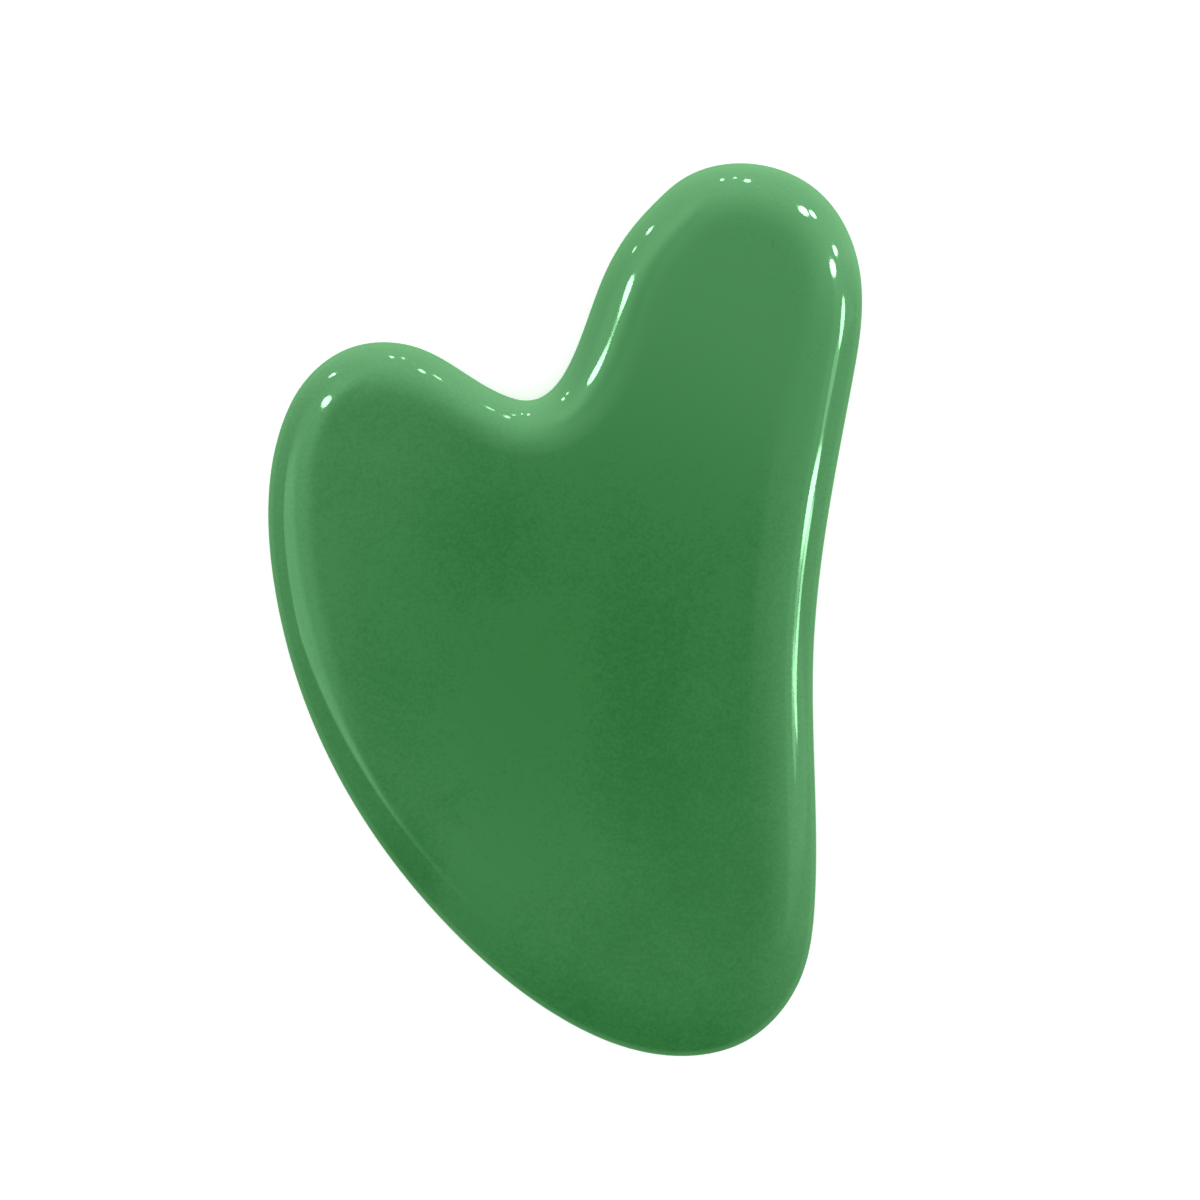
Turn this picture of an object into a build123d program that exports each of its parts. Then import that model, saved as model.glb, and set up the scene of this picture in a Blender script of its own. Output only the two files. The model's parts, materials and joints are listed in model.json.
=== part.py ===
from build123d import *

import os
from math import cos, radians, sin

# A heart-shaped gua sha scraper: one plate of polished stone, which lies flat on its back.
# Millimetres. +Z is through the thickness and +Y is the long way, towards the tall lobe.
# The origin is the centre of the plate's bounding box, on the face that it rests on.

# Driving dimensions
THICKNESS = 6.0
EDGE_REACH = 4.2  # how far in from the outline the rounding of the rim reaches
RIM_LAND = 0.1  # upright band left round the middle of the rim, before it is flattened
GRIND = 0.03  # taken off each side, which leaves the two faces truly flat

# Round stretches of the outline: centre x, centre y, radius, and the directions of its points
TALL_LOBE = (16.7, 31.0, 11.0, (130, 90, 50, 10))
HEEL = (11.3, -30.4, 11.7, (-20, -60, -100))
SHORT_LOBE = (-17.0, 15.7, 9.5, (150, 110, 70))

# Long stretches between them, each point on the outline
WAIST_SIDE = [(27.0, 21.2), (23.4, -3.7), (23.5, -27.8)]
BELLY_SIDE = [(-0.1, -38.6), (-9.9, -30.9), (-22.3, -13.8), (-27.3, 1.9), (-26.5, 17.8)]
NOTCH = [(-6.2, 20.4), (-3.9, 19.7), (3.5, 31.1)]


def lobe_points(centre_x, centre_y, radius, directions):
    """Points on a lobe's circle, in the given directions from its centre."""
    return [
        (centre_x + radius * cos(radians(angle)), centre_y + radius * sin(radians(angle)))
        for angle in directions
    ]


def outline_face():
    """The plate seen from above: one smooth closed curve, clockwise from the tall lobe."""
    points = (
        lobe_points(*TALL_LOBE)
        + WAIST_SIDE
        + lobe_points(*HEEL)
        + BELLY_SIDE
        + lobe_points(*SHORT_LOBE)
        + NOTCH
    )
    face = make_face(Spline(*points, periodic=True))
    centre = face.bounding_box().center()
    return Pos(-centre.X, -centre.Y) * face


def rounded_blank(face):
    """A plate twice as thick as the rim's reach, with round edges of nearly that radius."""
    height = 2 * EDGE_REACH
    blank = extrude(face, amount=height)
    rims = blank.edges().group_by(Axis.Z)
    return fillet(rims[0] + rims[-1], EDGE_REACH - RIM_LAND / 2), height


def scraper_stone():
    """The blank flattened to its thickness, so that the rim is a half ellipse, and ground flat."""
    blank, height = rounded_blank(outline_face())
    rough_thickness = THICKNESS + 2 * GRIND
    rough = Pos(0, 0, -GRIND) * scale(blank, by=(1, 1, rough_thickness / height))
    size = rough.bounding_box().size
    kept = Box(2 * size.X, 2 * size.Y, THICKNESS, align=(Align.CENTER, Align.CENTER, Align.MIN))
    return rough & kept


def main():
    os.makedirs("parts", exist_ok=True)
    stone = scraper_stone()
    stone.label = "scraper_stone"
    export_step(stone, "parts/scraper_stone.step")


main()
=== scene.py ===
import json
import math

import bmesh
import bpy
import numpy as np
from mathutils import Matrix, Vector, noise
from mathutils.geometry import delaunay_2d_cdt


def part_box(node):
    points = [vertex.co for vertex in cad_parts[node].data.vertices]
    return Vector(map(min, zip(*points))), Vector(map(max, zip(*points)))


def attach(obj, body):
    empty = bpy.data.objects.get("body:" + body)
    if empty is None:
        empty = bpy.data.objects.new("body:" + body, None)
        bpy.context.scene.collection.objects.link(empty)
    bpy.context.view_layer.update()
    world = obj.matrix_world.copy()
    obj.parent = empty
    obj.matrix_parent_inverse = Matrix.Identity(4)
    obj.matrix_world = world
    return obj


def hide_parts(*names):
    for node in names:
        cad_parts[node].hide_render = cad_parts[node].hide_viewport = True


# A polished green stone gua sha scraper, lying flat and seen from straight above.
# Metres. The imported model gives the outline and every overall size.

MM = 0.001
STONE_NODE = "scraper_stone"

# Mesh of the stone. With reach and height as shares of their greatest values, the rim's rounding
# is where (1 - reach) ** RIM_POWER + height ** 2 is 1.
RIM_REACH_PER_THICKNESS = 1.05  # how far in the rounding of the rim reaches
RIM_POWER = 3.0  # above 2, the rounding runs out softly into the flat faces
NOTCH_LESS = 0.2  # how much less far in it reaches at the notch
NOTCH_SPREAD = 7 * MM  # how far from the notch that ends
AROUND = 720  # points round the outline
RINGS = 28  # rows from the middle of the rim to the edge of a flat face
FACE_GRID = 1.1 * MM  # spacing of the points inside a flat face
FACE_MARGIN = 0.6 * FACE_GRID  # least distance from those to the edge of the face
POLISH_WAVE = 11 * MM  # length of the waviness that hand polishing leaves
POLISH_DEPTH = 0.012 * MM

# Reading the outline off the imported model
SAME_PLACE = 0.0001 * MM  # vertices this close are one
SAME_ROW = 0.001 * MM  # vertices whose heights are this close are in one row
SPLINE_STEPS = 20  # fine steps along each span of the spline, to measure its length

# Camera, as shares of the stone's length
FRAME_PER_LENGTH = 1.344  # width of the picture
CAMERA_ACROSS = 0.039
CAMERA_ALONG = 0.0108
LENS = 150.0
SENSOR = 36.0
CLIP_FACTOR = 100  # how much nearer and farther than the stone the camera sees

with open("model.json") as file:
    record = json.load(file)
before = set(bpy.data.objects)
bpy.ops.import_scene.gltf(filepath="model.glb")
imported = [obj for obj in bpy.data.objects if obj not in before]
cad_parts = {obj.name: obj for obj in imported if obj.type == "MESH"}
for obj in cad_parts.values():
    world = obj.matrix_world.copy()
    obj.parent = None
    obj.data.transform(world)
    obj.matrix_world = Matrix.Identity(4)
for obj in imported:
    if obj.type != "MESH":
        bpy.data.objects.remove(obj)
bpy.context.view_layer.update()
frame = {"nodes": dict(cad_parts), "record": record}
stone_low, stone_high = (Vector(corner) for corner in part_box(STONE_NODE))
LENGTH = stone_high.y - stone_low.y
THICKNESS = stone_high.z - stone_low.z
MIDDLE = (stone_low + stone_high) / 2
RIM_REACH = RIM_REACH_PER_THICKNESS * THICKNESS

# Where the notch is: the low corner of the opening that the record keeps free in it
NOTCH = np.array(frame["record"]["physics"]["openings"][0]["box_m"][0][:2])


# ---------------------------------------------------------------- outline


def rim_edges(mesh, height):
    """The edges of the CAD mesh that run along the first row of vertices above height."""
    above = [v.co.z for v in mesh.verts if v.co.z > height]
    row = min(above) + SAME_ROW
    on_row = {v for v in mesh.verts if height < v.co.z < row}
    return [
        e
        for e in mesh.edges
        if set(e.verts) <= on_row and any(v.co.z < height for f in e.link_faces for v in f.verts)
    ]


def cad_outline(node):
    """The CAD model's outline at half its thickness, as points in order round it."""
    mesh = bmesh.new()
    mesh.from_mesh(node.data)
    bmesh.ops.remove_doubles(mesh, verts=mesh.verts, dist=SAME_PLACE)
    beside = {}
    for edge in rim_edges(mesh, MIDDLE.z):
        a, b = edge.verts
        beside.setdefault(a, []).append(b)
        beside.setdefault(b, []).append(a)
    first = max(beside, key=lambda v: v.co.y)
    walk = [first, beside[first][0]]
    while True:
        a, b = beside[walk[-1]]
        following = b if a is walk[-2] else a
        if following is first:
            break
        walk.append(following)
    points = np.array([v.co.xy for v in walk])
    mesh.free()
    return points


def smooth_loop(points, count):
    """A periodic cubic spline through the points, sampled evenly along its length."""
    n = len(points)
    gaps = np.linalg.norm(np.roll(points, -1, axis=0) - points, axis=1)
    before = np.roll(gaps, 1)
    slopes = (np.roll(points, -1, axis=0) - points) / gaps[:, None]
    system = np.zeros((n, n))
    rows = np.arange(n)
    system[rows, rows - 1] = before
    system[rows, rows] = 2 * (before + gaps)
    system[rows, (rows + 1) % n] = gaps
    bends = np.linalg.solve(system, 6 * (slopes - np.roll(slopes, 1, axis=0)))
    starts = np.concatenate([[0], np.cumsum(gaps)])

    def at(distance):
        """Points of the spline, by the distance from the start along straight spans."""
        span = np.clip(np.searchsorted(starts, distance, side="right") - 1, 0, n - 1)
        h = gaps[span][:, None]
        t = (distance - starts[span])[:, None]
        a, b = points[span], points[(span + 1) % n]
        p, q = bends[span], bends[(span + 1) % n]
        straight = (a * (h - t) + b * t) / h
        return straight + ((h - t) ** 3 / h - h * (h - t)) * p / 6 + (t**3 / h - h * t) * q / 6

    fine_count = SPLINE_STEPS * n
    fine = at(np.linspace(0, starts[-1], fine_count, endpoint=False))
    steps = np.linalg.norm(np.roll(fine, -1, axis=0) - fine, axis=1)
    length = np.concatenate([[0], np.cumsum(steps)])
    even = np.interp(
        np.linspace(0, length[-1], count, endpoint=False),
        length,
        np.linspace(0, starts[-1], fine_count + 1),
    )
    return at(even)


def inward_normals(points):
    """Unit vectors across the outline, into the stone."""
    along = np.roll(points, -1, axis=0) - np.roll(points, 1, axis=0)
    along /= np.linalg.norm(along, axis=1)[:, None]
    across = np.column_stack([-along[:, 1], along[:, 0]])
    x, y = points.T
    turns = np.sum(x * np.roll(y, -1) - np.roll(x, -1) * y)
    return across if turns > 0 else -across


# ---------------------------------------------------------------- stone


def face_points(loop):
    """The points and triangles of a flat face bounded by loop, and where each point came from."""
    low, high = loop.min(axis=0), loop.max(axis=0)
    xs = np.arange(low[0], high[0], FACE_GRID)
    ys = np.arange(low[1], high[1], FACE_GRID)
    grid = [(x, y) for x in xs for y in ys]
    clear = [p for p in grid if np.min(np.hypot(*(loop - p).T)) > FACE_MARGIN]
    inputs = [Vector(p) for p in loop] + [Vector(p) for p in clear]
    border = [(i, (i + 1) % len(loop)) for i in range(len(loop))]
    only_inside = 1
    tolerance = 1e-9
    result = delaunay_2d_cdt(inputs, border, [], only_inside, tolerance)
    points, _, triangles, origins, _, _ = result
    return points, triangles, origins


def rim_reach(outline):
    """How far in the rounding reaches from each point of the outline."""
    from_notch = np.linalg.norm(outline - NOTCH, axis=1)
    return RIM_REACH * (1 - NOTCH_LESS * np.exp(-((from_notch / NOTCH_SPREAD) ** 2)))


def add_rim(mesh, outline, inward):
    """The rounded rim, as rows of vertices from the lower face up to the upper one."""
    rows = []
    for angle in np.linspace(-math.pi / 2, math.pi / 2, 2 * RINGS + 1):
        reach = 1 - max(0.0, math.cos(angle)) ** (2 / RIM_POWER)
        height = MIDDLE.z + THICKNESS / 2 * math.sin(angle)
        rows.append([mesh.verts.new((x, y, height)) for x, y in outline + reach * inward])
    for lower, upper in zip(rows, rows[1:]):
        for i in range(AROUND):
            j = (i + 1) % AROUND
            mesh.faces.new((lower[i], lower[j], upper[j], upper[i]))
    return rows


def add_face(mesh, row, height, face):
    """A flat face inside a row of the rim, from what face_points gives."""
    corner = []
    points, triangles, origins = face
    for point, came_from in zip(points, origins):
        on_rim = [k for k in came_from if k < AROUND]
        corner.append(row[on_rim[0]] if on_rim else mesh.verts.new((point.x, point.y, height)))
    for triangle in triangles:
        mesh.faces.new([corner[k] for k in triangle])


def stone_mesh(name, outline):
    """The plate: a rounded rim and two flat faces."""
    inward = inward_normals(outline) * rim_reach(outline)[:, None]
    mesh = bmesh.new()
    rows = add_rim(mesh, outline, inward)
    face = face_points(outline + inward)
    add_face(mesh, rows[0], stone_low.z, face)
    add_face(mesh, rows[-1], stone_high.z, face)
    loose = [v for v in mesh.verts if not v.link_faces]
    bmesh.ops.delete(mesh, geom=loose, context="VERTS")
    bmesh.ops.recalc_face_normals(mesh, faces=mesh.faces)
    data = bpy.data.meshes.new(name)
    mesh.to_mesh(data)
    mesh.free()
    data.shade_smooth()
    stone = bpy.data.objects.new(name, data)
    bpy.context.collection.objects.link(stone)
    return stone


def hand_polish(stone):
    """Shallow waviness: full on the upper half, and none on the face that the stone lies on.

    It only goes inwards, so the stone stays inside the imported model's box.
    """
    vertices = stone.data.vertices
    places = np.zeros(3 * len(vertices))
    vertices.foreach_get("co", places)
    normals = np.zeros(3 * len(vertices))
    vertices.foreach_get("normal", normals)
    places, normals = places.reshape(-1, 3), normals.reshape(-1, 3)
    share = np.clip((places[:, 2] - stone_low.z) / THICKNESS * 2, 0, 1)
    waves = np.array([noise.noise(Vector(place) / POLISH_WAVE) for place in places])
    depth = POLISH_DEPTH * share * (waves - 1) / 2
    vertices.foreach_set("co", (places + normals * depth[:, None]).ravel())
    stone.data.update()


# ---------------------------------------------------------------- nodes


def new_material(name):
    """A material with one Principled shader, its node tree and that shader."""
    material = bpy.data.materials.new(name)
    material.use_nodes = True
    tree = material.node_tree
    tree.nodes.clear()
    output = tree.nodes.new("ShaderNodeOutputMaterial")
    shader = tree.nodes.new("ShaderNodeBsdfPrincipled")
    tree.links.new(shader.outputs["BSDF"], output.inputs["Surface"])
    return material, tree, shader


def noise_node(tree, place, size, detail, roughness=0.5, distortion=0.0):
    """A noise texture whose features are about size metres across."""
    node = tree.nodes.new("ShaderNodeTexNoise")
    node.inputs["Scale"].default_value = 1 / size
    node.inputs["Detail"].default_value = detail
    node.inputs["Roughness"].default_value = roughness
    node.inputs["Distortion"].default_value = distortion
    tree.links.new(place, node.inputs["Vector"])
    return node


def math_node(tree, operation, *values):
    """The result of an operation on values, each of them a number or a node's output."""
    node = tree.nodes.new("ShaderNodeMath")
    node.operation = operation
    for socket, value in zip(node.inputs, values):
        if isinstance(value, (int, float)):
            socket.default_value = value
        else:
            tree.links.new(value, socket)
    return node.outputs[0]


def product(tree, first, *others):
    """All the values multiplied."""
    for other in others:
        first = math_node(tree, "MULTIPLY", first, other)
    return first


def soft_step(tree, value, edge, before=0.0, after=1.0):
    """Goes smoothly from before to after while value goes from one end of edge to the other."""
    node = tree.nodes.new("ShaderNodeMapRange")
    node.interpolation_type = "SMOOTHSTEP"
    node.inputs["From Min"].default_value = edge[0]
    node.inputs["From Max"].default_value = edge[1]
    node.inputs["To Min"].default_value = before
    node.inputs["To Max"].default_value = after
    tree.links.new(value, node.inputs["Value"])
    return node.outputs["Result"]


def soft_end(tree, value, edge, before=1.0):
    """Goes smoothly from before to nothing across edge."""
    return soft_step(tree, value, edge, before, 0.0)


def colour_ramp(tree, value, stops):
    """The colour at value, between stops that each give a position from 0 to 1 and a colour."""
    node = tree.nodes.new("ShaderNodeValToRGB")
    elements = node.color_ramp.elements
    elements.remove(elements[1])
    elements[0].position, elements[0].color = stops[0]
    for position, colour in stops[1:]:
        elements.new(position).color = colour
    tree.links.new(value, node.inputs["Fac"])
    return node.outputs["Color"]


def grey(level):
    """An opaque grey, or white at 1."""
    return (level, level, level, 1)


# ---------------------------------------------------------------- materials

# Greens of the stone. The lightest is also where the painted reflection in the light patches below
# takes the colour.
STONE_DARK = (0.0110, 0.120, 0.0215, 1)
STONE_MID = (0.0180, 0.139, 0.0305, 1)
STONE_LIGHT = (0.0295, 0.166, 0.0425, 1)
STONE_COLOURS = ((0.0, STONE_DARK), (0.33, STONE_MID), (0.68, STONE_LIGHT))
STONE_ROUGHNESS = 0.05
STONE_IOR = 1.66
STONE_TINT = (0.46, 1.0, 0.54, 1)  # straight on, the polish reflects mostly green
SWIRL = 5 * MM  # how far the swirling of the stone moves its clouds and its patches of painted reflection
SWIRL_SIZE = 9 * MM
MOTTLE = 0.35  # how much the mottling shows
MOTTLE_SIZE = 4.5 * MM
MOTTLE_ROUGHNESS = 0.6
MOTTLE_DISTORTION = 0.2
FLECK = 0.3  # how much the flecks show
FLECK_SIZE = 0.9 * MM
GRAIN = 0.85  # how much the finest grain shows
GRAIN_SIZE = 0.32 * MM
BLEND_START = -0.33  # evens out what the mottling, flecks and grain add on average
SPECK_CELL = 4 * MM  # spacing of the tiny pale dots
SPECK_SHARE = 0.3  # share of the cells that have one
SPECK_SIZE = 0.25 * MM
SPECK_LIGHT = 0.8
# Patches of colour. The dark ones are clouding in the stone. The light ones are partly paler stone
# and partly painted reflection, most of all the broad one over the tall lobe.
CLOUDS_AND_PAINTED_REFLECTION = (  # across, along and radius as shares of the stone's length, and how light
    (-0.067, 0.094, 0.050, -0.16),
    (-0.094, -0.001, 0.070, 0.16),
    (0.055, 0.150, 0.060, -0.02),
    (0.118, 0.021, 0.075, -0.06),
    (0.085, -0.035, 0.060, -0.10),
    (0.074, -0.124, 0.060, -0.03),
    (0.055, -0.185, 0.050, -0.12),
    (0.120, -0.190, 0.050, -0.10),
    (0.174, -0.258, 0.065, -0.12),
    (-0.184, 0.212, 0.040, 0.16),
    (0.085, -0.460, 0.040, 0.16),
    (-0.170, -0.270, 0.050, -0.55),
    (-0.060, -0.270, 0.090, 0.35),
    (-0.200, 0.080, 0.090, 0.24),
    (0.200, 0.000, 0.060, 0.18),
    (0.160, 0.330, 0.200, 0.46),
    (0.019, -0.005, 0.073, 0.32),
    (0.008, -0.123, 0.073, 0.34),
    (0.070, -0.235, 0.050, 0.25),
    (-0.087, -0.095, 0.055, 0.16),
    (0.204, -0.083, 0.045, 0.16),
)


def clouds_and_painted_reflection(tree, place):
    """Soft dark patches of clouding in the stone and soft light patches, partly paler stone and
    partly painted reflection, added up.
    """
    total = 0.0
    for across, along, radius, light in CLOUDS_AND_PAINTED_REFLECTION:
        away = tree.nodes.new("ShaderNodeVectorMath")
        away.operation = "DISTANCE"
        away.inputs[1].default_value = (across * LENGTH, along * LENGTH, THICKNESS)
        tree.links.new(place, away.inputs[0])
        patch = soft_end(tree, away.outputs["Value"], (0.0, 2 * radius * LENGTH), light)
        total = math_node(tree, "ADD", patch, total)
    return total


def swirled(tree, place):
    """The place moved a little by noise, so that the clouds and the patches of painted reflection
    swirl.
    """
    swirl = noise_node(tree, place, SWIRL_SIZE, detail=3)
    drift = tree.nodes.new("ShaderNodeVectorMath")
    drift.operation = "MULTIPLY_ADD"
    drift.inputs[1].default_value = (SWIRL, SWIRL, SWIRL)
    tree.links.new(swirl.outputs["Color"], drift.inputs[0])
    tree.links.new(place, drift.inputs[2])
    return drift.outputs[0]


def specks(tree, place):
    """A few tiny pale dots: a round dot in the middle of some of the cells."""
    cells = tree.nodes.new("ShaderNodeTexVoronoi")
    cells.inputs["Scale"].default_value = 1 / SPECK_CELL
    tree.links.new(place, cells.inputs["Vector"])
    chance = tree.nodes.new("ShaderNodeSeparateXYZ")
    tree.links.new(cells.outputs["Color"], chance.inputs[0])
    chosen = math_node(tree, "LESS_THAN", chance.outputs["X"], SPECK_SHARE)
    dot = soft_end(tree, cells.outputs["Distance"], (0.0, SPECK_SIZE / SPECK_CELL), SPECK_LIGHT)
    return math_node(tree, "MULTIPLY", chosen, dot)


def stone_material():
    """Cloudy green stone under a high polish, with painted reflection in its light patches."""
    material, tree, shader = new_material("green_stone_polished")
    place = tree.nodes.new("ShaderNodeTexCoord").outputs["Object"]
    mottle = noise_node(
        tree, place, MOTTLE_SIZE, detail=4, roughness=MOTTLE_ROUGHNESS, distortion=MOTTLE_DISTORTION
    )
    flecks = noise_node(tree, place, FLECK_SIZE, detail=2)
    grain = noise_node(tree, place, GRAIN_SIZE, detail=2)
    # Clouding and painted reflection from the patches, then mottling, flecks and grain
    blend = math_node(tree, "ADD", clouds_and_painted_reflection(tree, swirled(tree, place)), BLEND_START)
    for texture, share in ((mottle, MOTTLE), (flecks, FLECK), (grain, GRAIN)):
        blend = math_node(tree, "MULTIPLY_ADD", texture.outputs["Fac"], share, blend)
    blend = math_node(tree, "ADD", blend, specks(tree, place))
    tree.links.new(colour_ramp(tree, blend, STONE_COLOURS), shader.inputs["Base Color"])
    shader.inputs["Roughness"].default_value = STONE_ROUGHNESS
    shader.inputs["IOR"].default_value = STONE_IOR
    shader.inputs["Specular Tint"].default_value = STONE_TINT
    return material


PAPER_COLOURS = ((0.0, grey(0.93)), (1.0, grey(0.96)))
PAPER_FIBRE = 2 * MM
PAPER_ROUGHNESS = 0.9
PAPER_GLOW = 0.38  # brightness of the backlit table under the paper


def floor_material():
    """White matt paper, lit from behind so that the stone casts hardly any shadow on it."""
    material, tree, shader = new_material("floor_paper")
    place = tree.nodes.new("ShaderNodeTexCoord").outputs["Object"]
    fibres = noise_node(tree, place, PAPER_FIBRE, detail=4).outputs["Fac"]
    tree.links.new(colour_ramp(tree, fibres, PAPER_COLOURS), shader.inputs["Base Color"])
    shader.inputs["Roughness"].default_value = PAPER_ROUGHNESS
    shader.inputs["Emission Color"].default_value = grey(1)
    seen = tree.nodes.new("ShaderNodeLightPath").outputs["Is Camera Ray"]
    glow = math_node(tree, "MULTIPLY", seen, PAPER_GLOW)
    tree.links.new(glow, shader.inputs["Emission Strength"])
    return material


# ---------------------------------------------------------------- floor and lamps

FLOOR_PER_LENGTH = 40  # radius of the floor
FLOOR_SIDES = 96


def make_floor():
    """A wide round sheet of paper under the stone, which reflections don't show."""
    mesh = bmesh.new()
    radius = FLOOR_PER_LENGTH * LENGTH
    bmesh.ops.create_circle(mesh, cap_ends=True, radius=radius, segments=FLOOR_SIDES)
    data = bpy.data.meshes.new("studio_floor")
    mesh.to_mesh(data)
    mesh.free()
    floor = bpy.data.objects.new("studio_floor", data)
    floor.location.z = stone_low.z
    floor.visible_glossy = False
    floor.data.materials.append(floor_material())
    bpy.context.collection.objects.link(floor)


ALL_ROUND = 180  # degrees over which a bare lamp's light fans out


def direction(azimuth, zenith):
    """Unit vector: azimuth in degrees from +X towards +Y, zenith in degrees down from +Z."""
    a, z = math.radians(azimuth), math.radians(zenith)
    return Vector((math.sin(z) * math.cos(a), math.sin(z) * math.sin(a), math.cos(z)))


def focus(fan):
    """How much brighter a lamp is along its middle for fanning out over fan degrees only."""
    if fan == ALL_ROUND:
        return 1
    half = math.radians(fan / 2)
    return math.tan(half) / (math.tan(half) - half)


def lamp(name, seen_from, azimuth, zenith, wide, tall, radiance, distance, fan):
    """An oval lamp that only reflections show, wide and tall degrees across from the stone.

    Its light fans out over fan degrees, and radiance is what it has along the middle of that.
    """
    light = bpy.data.lights.new(name, "AREA")
    light.shape = "ELLIPSE"
    light.size = 2 * distance * math.tan(math.radians(wide / 2))
    light.size_y = 2 * distance * math.tan(math.radians(tall / 2))
    light.spread = math.radians(fan)
    area = math.pi / 4 * light.size * light.size_y
    light.energy = math.pi * radiance * area / focus(fan)
    lit = bpy.data.objects.new(name, light)
    towards = direction(azimuth, zenith)
    lit.location = seen_from + towards * distance
    lit.rotation_mode = "QUATERNION"
    lit.rotation_quaternion = towards.to_track_quat("Z", "Y")
    lit.visible_camera = False
    lit.visible_diffuse = False
    bpy.context.collection.objects.link(lit)


RIM_PLACE_HEIGHT = 0.9  # as a share of the thickness


def rim_place(across, along):
    """A place on the upper part of the rim, given in millimetres from the middle."""
    return Vector((across * MM, along * MM, RIM_PLACE_HEIGHT * THICKNESS))


SHORT_LEFT = rim_place(-22, 20)
SHORT_TOP = rim_place(-14, 22.5)
TALL_TOP = rim_place(16, 40.3)
TALL_CORNER = rim_place(22.5, 37.4)
TALL_RIGHT = rim_place(25, 33)
TALL_FLANK = rim_place(26, 27)
TALL_LEFT = rim_place(8, 35.5)
WAIST = rim_place(22.5, 4)
# name, seen from, azimuth, zenith, wide, tall, radiance, distance, fan
LAMPS = (
    ("lamp_waist_upper", WAIST, -4.4, 47, 2.3, 12, 25, 0.19, ALL_ROUND),
    ("lamp_waist_lower", WAIST, -5.85, 54, 0.85, 7, 17, 0.19, ALL_ROUND),
    ("lamp_flank", TALL_FLANK, 0.3, 50, 8.5, 9, 20, 0.38, ALL_ROUND),
    ("lamp_flank_dim", TALL_FLANK, -6.5, 47, 5, 10, 2.6, 0.38, ALL_ROUND),
    ("lamp_right_high", TALL_RIGHT, 17, 35, 4.3, 10, 40, 0.38, ALL_ROUND),
    ("lamp_right_low", TALL_RIGHT, 22.8, 49.5, 3.7, 9, 34, 0.38, ALL_ROUND),
    ("lamp_corner_low", TALL_CORNER, 43.5, 46, 4.4, 8, 34, 0.38, ALL_ROUND),
    ("lamp_corner_high", TALL_CORNER, 49.5, 37.5, 5.3, 11, 40, 0.38, ALL_ROUND),
    ("lamp_tall_top", TALL_TOP, 84.3, 53.5, 2.8, 10, 30, 0.19, 16),
    ("lamp_short_right", SHORT_TOP, 64.8, 49.3, 1.8, 5, 20, 0.26, 12),
    ("lamp_short_middle", SHORT_TOP, 71.7, 44.9, 2.4, 7, 32, 0.26, 12),
    ("lamp_top_middle", TALL_TOP, 91, 61.5, 1.7, 5, 20, 0.21, ALL_ROUND),
    ("lamp_top_left", TALL_TOP, 98.3, 60, 2.1, 7, 24, 0.22, ALL_ROUND),
    ("lamp_left_far", TALL_LEFT, 135.8, 60, 2.2, 8, 28, 0.28, ALL_ROUND),
    ("lamp_left_near", TALL_LEFT, 143.6, 62.3, 2.2, 5, 17, 0.16, ALL_ROUND),
    ("lamp_left_high", SHORT_LEFT, 143.4, 29, 4.0, 10, 26, 0.38, ALL_ROUND),
)


def make_lamps():
    """The lamps whose small reflections lie on the rim."""
    for row in LAMPS:
        lamp(*row)


# ---------------------------------------------------------------- reflected room

# A direction's height is its z as a unit vector, and its azimuth goes from +X towards +Y.
DOME = 1.08  # plain light from all round, for everything but reflections
CEILING = 0.8  # brightness of the reflected room overhead
CAMERA_SHADE = 0.4  # what the camera leaves of that straight above
CAMERA_EDGE = (0.9982, 1.0)  # height over which its shade sets in
WALLS = (  # azimuth in degrees, and brightness of the reflected wall there
    (-75, 0.3),
    (-45, 0.9),
    (-16, 1.65),
    (0, 2.35),
    (20, 4.0),
    (90, 4.3),
    (125, 3.7),
    (150, 2.6),
    (180, 1.5),
    (220, 0.6),
    (250, 0.2),
)
WALL_START = -90  # azimuth at which the walls' colour ramp starts
WALL_SCALE = 5.0  # a colour ramp holds only 0 to 1
WALL_SPREAD = 3.5  # how far up the ceiling the walls' light reaches
LOWEST_RISE = 0.02  # keeps across and along finite near the horizon
UNDER_EDGE = (-1.25, 0.15)  # height over which the room darkens downwards
GROUND = 0.5  # the pale floor, as the steepest part of the rim reflects it
GROUND_EDGE = (-0.40, -0.10)  # height at which it ends
TINT_EDGE = (-1.0, 0.6)  # height over which the light goes from green to white
GREEN_RED = 0.5  # red in the greenest light
GREEN_BLUE = 0.55  # blue in it

# Lights on the ceiling. A direction's across and along are its x and y as shares of its rise, and
# a pair of numbers is where a soft edge starts and ends, from left to right or from near to far.
PANEL = 0.76  # the broad panel overhead to the left
PANEL_LEFT = (-1.68, -1.52)
PANEL_RIGHT = (-0.35, -0.12)
PANEL_FAR = (0.2, 0.9)
PANEL_SLANT = -0.03  # how the panel's near edge slants
PANEL_NEAR = (-0.395, -0.315)
CORNER_SLANT = -0.45  # its near right corner is cut off at a slant
CORNER_NEAR = (-0.06, 0.06)
CORNER_LEFT = (-0.6, -0.4)
OUTER = 1.0  # its brighter outer part
OUTER_SLANT = 0.8
OUTER_RIGHT = (-0.82, -0.50)
OUTER_FAR = (0.10, 0.45)
FOOT = 0.45  # its bright foot
FOOT_FAR = (-0.295, -0.175)
FOOT_RIGHT = (-0.56, -0.44)
STRIP = 0.5  # the strip of light overhead to the right
STRIP_LEFT = (0.50, 0.70)
STRIP_NEAR = (-0.22, -0.08)
STRIP_FAR = (0.10, 0.35)
WEDGE = 0.78  # what a dark wedge overhead to the left leaves of the light there
WEDGE_LEFT = (-0.42, -0.22)
WEDGE_RIGHT = (-0.18, -0.06)
WEDGE_NEAR = (0.0, 0.09)
WEDGE_FAR = (0.2, 0.4)


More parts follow.
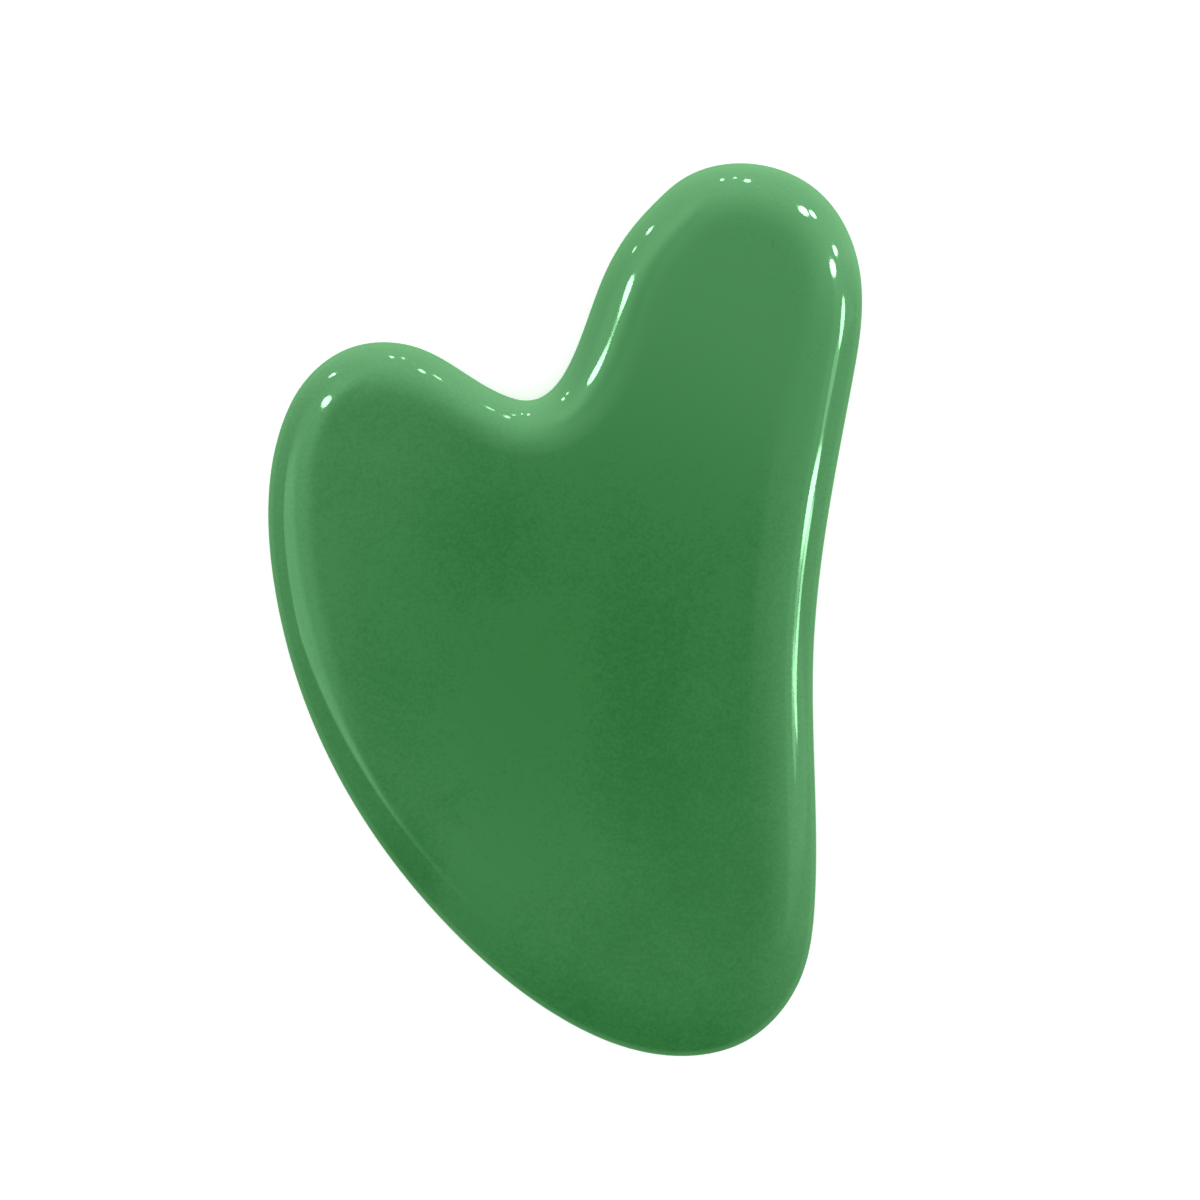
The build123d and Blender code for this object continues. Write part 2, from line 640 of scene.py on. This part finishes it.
def wall_light(tree, split):
    """Brightness of the wall in a direction, by its azimuth once round from WALL_START."""
    sideways = math_node(tree, "MULTIPLY", split.outputs["X"], -1.0)
    turn = math_node(tree, "ARCTAN2", sideways, split.outputs["Y"])
    share = math_node(tree, "MULTIPLY_ADD", turn, 0.5 / math.pi, 0.5)
    stops = [
        ((azimuth - WALL_START) / 360, grey(brightness / WALL_SCALE))
        for azimuth, brightness in WALLS
    ]
    return math_node(tree, "MULTIPLY", colour_ramp(tree, share, stops), WALL_SCALE)


def panel_body(tree, across, along):
    """The panel's even light, but for its cut-off corner."""
    light = soft_end(tree, across, PANEL_RIGHT, PANEL)
    slant = math_node(tree, "MULTIPLY_ADD", across, CORNER_SLANT, along)
    beyond = soft_step(tree, slant, CORNER_NEAR)
    beside = soft_end(tree, across, CORNER_LEFT)
    uncut = math_node(tree, "MAXIMUM", beyond, beside)
    return product(tree, light, uncut, soft_end(tree, along, PANEL_FAR))


def panel_outer(tree, across, along):
    """What the panel's outer part has more."""
    slant = math_node(tree, "MULTIPLY_ADD", along, OUTER_SLANT, across)
    light = soft_end(tree, slant, OUTER_RIGHT, OUTER)
    return math_node(tree, "MULTIPLY", light, soft_end(tree, along, OUTER_FAR))


def ceiling_panel(tree, across, along):
    """A panel overhead to the left: brightest outside, with a crisp outer edge and foot."""
    slant = math_node(tree, "MULTIPLY_ADD", across, PANEL_SLANT, along)
    foot = soft_end(tree, slant, FOOT_FAR, FOOT)
    foot = math_node(tree, "MULTIPLY", foot, soft_end(tree, across, FOOT_RIGHT))
    body = panel_body(tree, across, along)
    outer = panel_outer(tree, across, along)
    total = math_node(tree, "ADD", math_node(tree, "ADD", body, outer), foot)
    left = soft_step(tree, across, PANEL_LEFT)
    near = soft_step(tree, slant, PANEL_NEAR)
    return product(tree, total, left, near)


def ceiling_strip(tree, across, along):
    """A strip of light overhead to the right, which starts at a crisp edge."""
    start = soft_step(tree, across, STRIP_LEFT, 0.0, STRIP)
    near_side = soft_step(tree, along, STRIP_NEAR)
    far_side = soft_end(tree, along, STRIP_FAR)
    return product(tree, start, near_side, far_side)


def ceiling_wedge(tree, across, along):
    """What is left of the light in a dark wedge between the panel and the middle."""
    left = soft_step(tree, across, WEDGE_LEFT)
    right = soft_end(tree, across, WEDGE_RIGHT)
    near_side = soft_step(tree, along, WEDGE_NEAR)
    far_side = soft_end(tree, along, WEDGE_FAR)
    wedge = product(tree, left, right, near_side, far_side)
    return math_node(tree, "MULTIPLY_ADD", wedge, WEDGE - 1, 1.0)


def reflected_room(tree, split):
    """Brightness by direction: uneven walls, a darker ceiling with lights on it, the ground."""
    height = split.outputs["Z"]
    up = math_node(tree, "MAXIMUM", height, 0.0)
    from_top = math_node(tree, "SQRT", math_node(tree, "SUBTRACT", 1.0, up))
    overhead = math_node(tree, "POWER", math_node(tree, "SUBTRACT", 1.0, from_top), WALL_SPREAD)
    wall_share = math_node(tree, "SUBTRACT", 1.0, overhead)
    over_ceiling = math_node(tree, "SUBTRACT", wall_light(tree, split), CEILING)
    room = math_node(tree, "MULTIPLY_ADD", wall_share, over_ceiling, CEILING)
    rise = math_node(tree, "MAXIMUM", height, LOWEST_RISE)
    across = math_node(tree, "DIVIDE", split.outputs["X"], rise)
    along = math_node(tree, "DIVIDE", split.outputs["Y"], rise)
    room = math_node(tree, "ADD", room, ceiling_panel(tree, across, along))
    room = math_node(tree, "ADD", room, ceiling_strip(tree, across, along))
    camera = soft_step(tree, up, CAMERA_EDGE, 1.0, CAMERA_SHADE)
    under = soft_step(tree, height, UNDER_EDGE)
    room = product(tree, room, camera, under, ceiling_wedge(tree, across, along))
    return math_node(tree, "ADD", room, soft_end(tree, height, GROUND_EDGE, GROUND))


def reflected_colour(tree, split):
    """White above, and greener towards the ground, where the stone's own colour is about."""
    height = split.outputs["Z"]
    colour = tree.nodes.new("ShaderNodeCombineColor")
    tree.links.new(soft_step(tree, height, TINT_EDGE, GREEN_RED), colour.inputs["Red"])
    colour.inputs["Green"].default_value = 1.0
    tree.links.new(soft_step(tree, height, TINT_EDGE, GREEN_BLUE), colour.inputs["Blue"])
    return colour.outputs["Color"]


def make_world():
    """A plain white dome, in which reflections see a studio room."""
    world = bpy.data.worlds.new("studio_room")
    world.use_nodes = True
    bpy.context.scene.world = world
    tree = world.node_tree
    tree.nodes.clear()
    output = tree.nodes.new("ShaderNodeOutputWorld")
    towards = tree.nodes.new("ShaderNodeTexCoord").outputs["Generated"]
    dome = tree.nodes.new("ShaderNodeBackground")
    dome.inputs["Color"].default_value = grey(1)
    dome.inputs["Strength"].default_value = DOME
    room = tree.nodes.new("ShaderNodeBackground")
    split = tree.nodes.new("ShaderNodeSeparateXYZ")
    tree.links.new(towards, split.inputs[0])
    tree.links.new(reflected_room(tree, split), room.inputs["Strength"])
    tree.links.new(reflected_colour(tree, split), room.inputs["Color"])
    reflection = tree.nodes.new("ShaderNodeLightPath").outputs["Is Glossy Ray"]
    mix = tree.nodes.new("ShaderNodeMixShader")
    tree.links.new(reflection, mix.inputs["Fac"])
    tree.links.new(dome.outputs[0], mix.inputs[1])
    tree.links.new(room.outputs[0], mix.inputs[2])
    tree.links.new(mix.outputs[0], output.inputs["Surface"])


# ---------------------------------------------------------------- camera and scene


def make_camera():
    """Straight above, at the height where the stone's outline fills the picture as it should."""
    data = bpy.data.cameras.new("camera")
    data.lens = LENS
    data.sensor_width = SENSOR
    camera = bpy.data.objects.new("camera", data)
    rise = FRAME_PER_LENGTH * LENGTH * LENS / SENSOR
    across, along = CAMERA_ACROSS * LENGTH, CAMERA_ALONG * LENGTH
    camera.location = MIDDLE + Vector((across, along, rise))
    data.clip_start = rise / CLIP_FACTOR
    data.clip_end = rise * CLIP_FACTOR
    bpy.context.collection.objects.link(camera)
    bpy.context.scene.camera = camera


bpy.context.scene.view_settings.view_transform = "Standard"

make_camera()
outline = smooth_loop(cad_outline(frame["nodes"][STONE_NODE]), AROUND)
stone = stone_mesh("polished_stone_plate", outline)
hand_polish(stone)
stone.data.materials.append(stone_material())
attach(stone, "root")
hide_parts(STONE_NODE)
make_floor()
make_lamps()
make_world()
